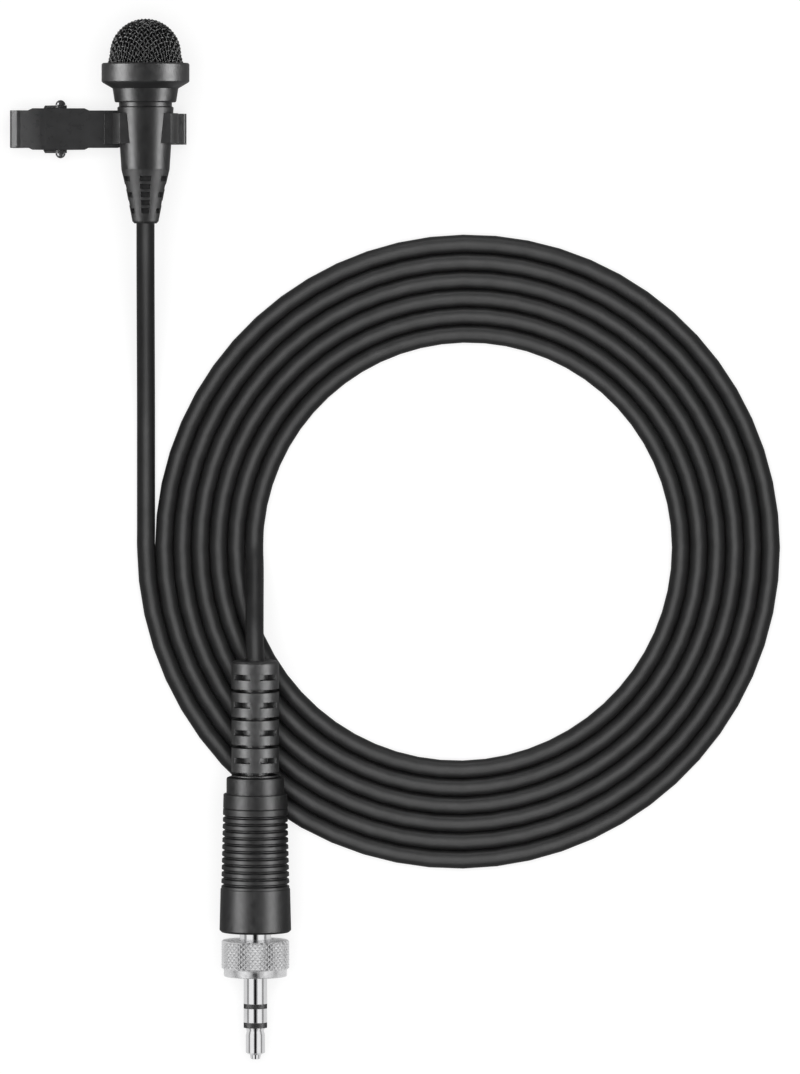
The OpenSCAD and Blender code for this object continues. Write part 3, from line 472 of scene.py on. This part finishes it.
def make_dome():
    reach = DOME_ARC + CONE_L + TUCK
    count = int(reach / WIRE_PITCH)
    data = tube("mesh_dome", WIRE_D / 2, 1)
    for family in (0, 1):
        for i in range(-count, count):
            line = woven_wire(family, i, count, reach)
            if len(line) > 2:
                add_line(data, line)
    curve = new_object("weave", data)
    bpy.context.view_layer.update()
    solid = curve.evaluated_get(bpy.context.evaluated_depsgraph_get())
    mesh = bpy.data.meshes.new_from_object(solid)
    mesh.name = "mesh_dome"
    bpy.data.objects.remove(curve)
    for polygon in mesh.polygons:
        polygon.use_smooth = True
    add_piece("mesh_dome", mesh, wire_finish(), "microphone", "mesh", "mesh_basket")


make_dome()


def lathe(outline, steps):
    """A turned ring round the Z axis. outline: (radius, place along the axis), in order."""
    bm = bmesh.new()
    verts = [bm.verts.new((r * MM, 0, s * MM)) for r, s in outline]
    edges = [bm.edges.new((a, b)) for a, b in zip(verts, verts[1:] + verts[:1])]
    bmesh.ops.spin(bm, geom=verts + edges, cent=(0, 0, 0), axis=(0, 0, 1), angle=2 * math.pi,
                   steps=steps, use_merge=True)
    bmesh.ops.remove_doubles(bm, verts=bm.verts, dist=1e-6)
    bmesh.ops.recalc_face_normals(bm, faces=bm.faces)
    return bm


CREASE = 35                          # degrees, from which an edge shows as one
ROUND_MIDDLE = 0.3                   # where a rounded edge has its middle point, in radii


def onto_plug_axis(bm):
    lean = Matrix.Rotation(math.radians(90 + TILT), 4, "X")
    place = Matrix.Translation(Vector(BOOT_REAR) * MM) @ lean
    bmesh.ops.transform(bm, matrix=place, verts=bm.verts)
    for edge in bm.edges:
        if len(edge.link_faces) == 2 and edge.calc_face_angle(0) > math.radians(CREASE):
            edge.smooth = False


# The barrel's grip is turned in narrow ridges, with a fine line behind them and a plain band
# at the front
BARREL_START, GRIP_START, BARREL_END, BARREL_STEPS = 17.4, 19.9, 40.6, 96
SHOULDER_R, GRIP_R, GRIP_END_R = 4.3, 4.75, 5.25
BORE_R, HOLLOW_R, THREAD_R, THREAD_START = 3.0, 3.7, 4.0, 35.3
ROUNDING, CHAMFER = 0.3, 0.1
LINE_BEHIND, LINE_W, LINE_DEPTH = 1.2, 0.2, 0.12
FIRST_GROOVE, GROOVE_PITCH, GROOVES, GROOVE_W, GROOVE_DEPTH = 23.25, 1.02, 11, 0.62, 0.34
# across a groove, in parts of its width, and how deep it is there
GROOVE_SHAPE = ((-0.5, 0), (-0.4, 0.03), (-0.08, 1), (0.08, 1), (0.4, 0.03), (0.5, 0))
BAND_AHEAD, BAND_STEP = 0.6, 0.1


def grip_at(s):
    return GRIP_R + (GRIP_END_R - GRIP_R) * (s - GRIP_START) / (BARREL_END - GRIP_START)


def make_barrel():
    inset = ROUNDING * ROUND_MIDDLE
    outline = [(BORE_R, BARREL_START), (SHOULDER_R - ROUNDING, BARREL_START),
               (SHOULDER_R - inset, BARREL_START + inset), (SHOULDER_R, BARREL_START + ROUNDING),
               (SHOULDER_R, GRIP_START), (GRIP_R - CHAMFER, GRIP_START),
               (GRIP_R, GRIP_START + CHAMFER)]
    s = FIRST_GROOVE - LINE_BEHIND
    outline += [(grip_at(s), s - LINE_W / 2), (grip_at(s) - LINE_DEPTH, s),
                (grip_at(s), s + LINE_W / 2)]
    for i in range(GROOVES):
        s = FIRST_GROOVE + i * GROOVE_PITCH
        for along, depth in GROOVE_SHAPE:
            outline.append((grip_at(s) - depth * GROOVE_DEPTH, s + along * GROOVE_W))
    band, band_r = s + BAND_AHEAD, GRIP_END_R + BAND_STEP
    outline += [(grip_at(band), band), (grip_at(band) + BAND_STEP, band + CHAMFER),
                (band_r, BARREL_END - ROUNDING), (band_r - ROUNDING, BARREL_END),
                (THREAD_R, BARREL_END), (THREAD_R, THREAD_START), (HOLLOW_R, THREAD_START),
                (HOLLOW_R, GRIP_START), (BORE_R, GRIP_START)]
    bm = lathe(outline, BARREL_STEPS)
    for face in bm.faces:
        face.smooth = True
    onto_plug_axis(bm)
    return add_piece("turned_barrel", mesh_from("turned_barrel", bm), barrel_black,
                     "microphone", "barrel_plastic", "plug_barrel")


make_barrel()


# The lock nut is knurled in diamonds. Rings in its bore stand for its thread
NUT_START, NUT_KNURL_L, NUT_LIP_L, NUT_R, NUT_LIP_R = 41.85, 4.25, 1.15, 5.08, 4.7
NUT_BORE_R, NUT_THREAD_R, NUT_WALL = 2.39, 3.4, 1.0
NUT_EDGE, NUT_REAR_RIM, NUT_LIP_ROUNDING, NUT_MOUTH = 0.22, 0.15, 0.2, 0.25
NUT_RING_PITCH, NUT_RING_DEPTH, NUT_RING_STOP = 0.4, 0.2, 0.35
KNURL_COLUMNS, KNURL_ROWS, KNURL_DEPTH = 80, 10, 0.17
KNURL_END = NUT_START + NUT_KNURL_L


def nut_outline(rows):
    front, inset = KNURL_END + NUT_LIP_L, NUT_LIP_ROUNDING * ROUND_MIDDLE
    outline = [(NUT_BORE_R, NUT_START), (NUT_R - NUT_EDGE - NUT_REAR_RIM, NUT_START),
               (NUT_R - NUT_EDGE, NUT_START)]
    outline += [(NUT_R, s) for s in rows]
    outline += [(NUT_R - NUT_EDGE, KNURL_END), (NUT_LIP_R, KNURL_END),
                (NUT_LIP_R, front - NUT_LIP_ROUNDING), (NUT_LIP_R - inset, front - inset),
                (NUT_LIP_R - NUT_LIP_ROUNDING, front), (NUT_THREAD_R + NUT_MOUTH, front)]
    s = front - NUT_MOUTH
    while s > NUT_START + NUT_WALL + NUT_RING_STOP:
        outline += [(NUT_THREAD_R, s), (NUT_THREAD_R + NUT_RING_DEPTH, s - NUT_RING_PITCH / 2)]
        s -= NUT_RING_PITCH
    return outline + [(NUT_THREAD_R, NUT_START + NUT_WALL), (NUT_BORE_R, NUT_START + NUT_WALL)]


def press_knurl(bm, rows):
    """Every other point of the rows is pressed in. Returns all their points."""
    knurled = set()
    for v in bm.verts:
        r = math.hypot(v.co.x, v.co.y) / MM
        if r < NUT_R - 0.01:
            continue
        row = round((v.co.z / MM - rows[0]) / (rows[1] - rows[0]))
        column = round(math.atan2(v.co.y, v.co.x) / (2 * math.pi) * KNURL_COLUMNS)
        knurled.add(v)
        if (row + column) % 2 == 0:
            v.co.x *= 1 - KNURL_DEPTH / NUT_R
            v.co.y *= 1 - KNURL_DEPTH / NUT_R
    return knurled


def make_lock_nut():
    length = NUT_KNURL_L - 2 * NUT_EDGE
    rows = [NUT_START + NUT_EDGE + length * i / KNURL_ROWS for i in range(KNURL_ROWS + 1)]
    bm = lathe(nut_outline(rows), KNURL_COLUMNS)
    knurled = press_knurl(bm, rows)
    quads = [face for face in bm.faces if all(v in knurled for v in face.verts)]
    bmesh.ops.triangulate(bm, faces=quads, quad_method="SHORT_EDGE")
    for face in bm.faces:
        face.smooth = not any(v in knurled for v in face.verts)
    onto_plug_axis(bm)
    add_piece("lock_nut_knurled", mesh_from("lock_nut_knurled", bm), nut_plating,
              "lock_nut", "chrome", "lock_nut")


make_lock_nut()


def make_spring():
    """A copy of the clip's spring in spring steel, with its place baked into its points."""
    obj = new_object("clip_spring_bending", NODES["clip_spring"].data.copy())
    dress(obj, spring_steel)
    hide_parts("clip_spring")
    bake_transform(obj)


make_spring()


# --- Light and floor, in metres -------------------------------------------------------

OVERHEAD = MIDDLE + Vector((0, 0, 2.9))
STRIP_DISTANCE = 0.8                 # from the middle
GLOW_ABOVE_FLOOR = 0.0004

# How bright the world is, where 1 is white: on the object, and in the metal towards the sides,
# straight above, and on either side of that
WORLD_LIGHT, WORLD_SIDES, WORLD_GAP, WORLD_LAMPS = 0.15, 0.30, 0.01, 0.35
GAP_INSIDE, GAP_OUTSIDE = 0.17, 0.24  # the gap fades between these, as the X of a direction
ABOVE = 0.5                           # and it is seen from this Z of a direction on


def area_light(name, place, aim, size, radiance, only_on=None, glossy=True, diffuse=True):
    """radiance is the lamp's brightness, where 1 is white. only_on: the pieces that it lights."""
    data = bpy.data.lights.new(name, "AREA")
    data.shape = "RECTANGLE"
    data.size, data.size_y = size
    data.energy = radiance * math.pi * size[0] * size[1]
    obj = new_object(name, data)
    obj.location = place
    obj.rotation_euler = (aim - place).to_track_quat("-Z", "Y").to_euler()
    obj.visible_glossy = glossy
    obj.visible_diffuse = diffuse
    obj.visible_camera = False
    if only_on:
        lit = bpy.data.collections.new(name + "_lights")
        for piece in only_on:
            lit.objects.link(piece)
        obj.light_linking.receiver_collection = lit


def strip_place(x, y, degrees):
    """degrees from straight above, towards x, y."""
    a = math.radians(degrees)
    out, up = STRIP_DISTANCE * math.sin(a), STRIP_DISTANCE * math.cos(a)
    return MIDDLE + Vector((x * out, y * out, up))


def finished_in(materials, pieces):
    return [obj for obj in pieces if materials & set(obj.data.materials[:])]


def light_the_scene():
    pieces = [obj for obj in scene.objects
              if obj.type in {"MESH", "CURVE"} and obj.data.materials]
    cords = finished_in({cord_jacket}, pieces)
    metal = finished_in(METALS, pieces)
    plug = finished_in({boot_rubber, barrel_black}, pieces)
    black = [obj for obj in pieces if obj not in cords + metal + plug]
    area_light("overhead", OVERHEAD, MIDDLE, size=(2.4, 2.4), radiance=4.5, glossy=False)
    # soft sheen along the top of the cord
    area_light("top_sheen", OVERHEAD, MIDDLE, size=(1.8, 2.1), radiance=14.5, only_on=cords,
               diffuse=False)
    # and along it where it slopes, from the front and the back
    for side, degrees, radiance in ((-1, 46, 3.6), (1, 68, 3.0)):
        area_light("slope_sheen", strip_place(0, side, degrees), MIDDLE, size=(0.5, 0.40),
                   radiance=radiance, only_on=cords, diffuse=False)
    # a strip of light at either side, strong for the black finishes and soft for the plating
    for side in (-1, 1):
        for name, degrees, width, radiance, lit in (
                ("side_strip", 67, 0.42, 21.0, black), ("plug_strip", 54, 0.42, 21.0, plug),
                ("soft_strip", 44, 0.70, 0.55, metal)):
            area_light(name, strip_place(side, 0, degrees), MIDDLE, size=(1.6, width),
                       radiance=radiance, only_on=lit, diffuse=False)
    # the pale floor shows in the plating more than in the black finishes
    low = MIDDLE + Vector((0, 0, GLOW_ABOVE_FLOOR))
    area_light("floor_in_plating", low, low + Vector((0, 0, 1)), size=(2.0, 2.0), radiance=0.32,
               only_on=metal, diffuse=False)


def make_world():
    """Dim on the object, white to the camera, and uneven in what mirrors it."""
    world = bpy.data.worlds.new("studio")
    scene.world = world
    world.use_nodes = True
    world.node_tree.nodes.clear()
    w = Nodes(world.node_tree)

    def background(strength):
        node = w.add("ShaderNodeBackground")
        node.inputs["Color"].default_value = (1, 1, 1, 1)
        w.give(strength, node.inputs["Strength"])
        return node.outputs[0]

    rays = w.add("ShaderNodeLightPath").outputs
    direction = w.add("ShaderNodeSeparateXYZ")
    w.give(w.add("ShaderNodeTexCoord").outputs["Generated"], direction.inputs["Vector"])
    # the gap between the lamps, straight above, shows dark in the metal
    gap = w.between(w.maths("ABSOLUTE", direction.outputs["X"]), WORLD_GAP, WORLD_LAMPS,
                    first=GAP_INSIDE, last=GAP_OUTSIDE)
    above = w.maths("GREATER_THAN", direction.outputs["Z"], ABOVE)
    mirrored = w.mixed(above, WORLD_SIDES, gap)
    seen = background(w.mixed(rays["Is Glossy Ray"], 1.0, mirrored))
    either = w.maths("MAXIMUM", rays["Is Camera Ray"], rays["Is Glossy Ray"])
    mix, out = w.add("ShaderNodeMixShader"), w.add("ShaderNodeOutputWorld")
    w.give(w.maths("MAXIMUM", either, rays["Is Transmission Ray"]), mix.inputs["Fac"])
    w.give(background(WORLD_LIGHT), mix.inputs[1])
    w.give(seen, mix.inputs[2])
    w.give(mix.outputs[0], out.inputs["Surface"])


light_the_scene()
make_world()

FLOOR_REACH, FLOOR_BELOW = 3.0, 0.00002
FLOOR_SEEN, FLOOR_MIRRORED = 0.75, 0.10   # how it glows, to the camera and in the metal


def lay_floor():
    bm = bmesh.new()
    bmesh.ops.create_grid(bm, x_segments=1, y_segments=1, size=FLOOR_REACH)
    bmesh.ops.translate(bm, verts=bm.verts, vec=MIDDLE - Vector((0, 0, FLOOR_BELOW)))
    obj = new_object("floor", mesh_from("floor", bm))
    f = Finish("pale_floor")
    f.set(Base_Color=(0.30, 0.30, 0.30, 1), Roughness=0.9, Specular_IOR_Level=0.0,
          Emission_Color=(1, 1, 1, 1))
    rays = f.add("ShaderNodeLightPath").outputs
    either = f.maths("MAXIMUM", rays["Is Glossy Ray"], rays["Is Transmission Ray"])
    in_metal = f.maths("MULTIPLY", either, FLOOR_MIRRORED)
    glow = f.maths("MULTIPLY_ADD", rays["Is Camera Ray"], FLOOR_SEEN, in_metal)
    f.give(glow, f.shader.inputs["Emission Strength"])
    dress(obj, f.material)


lay_floor()
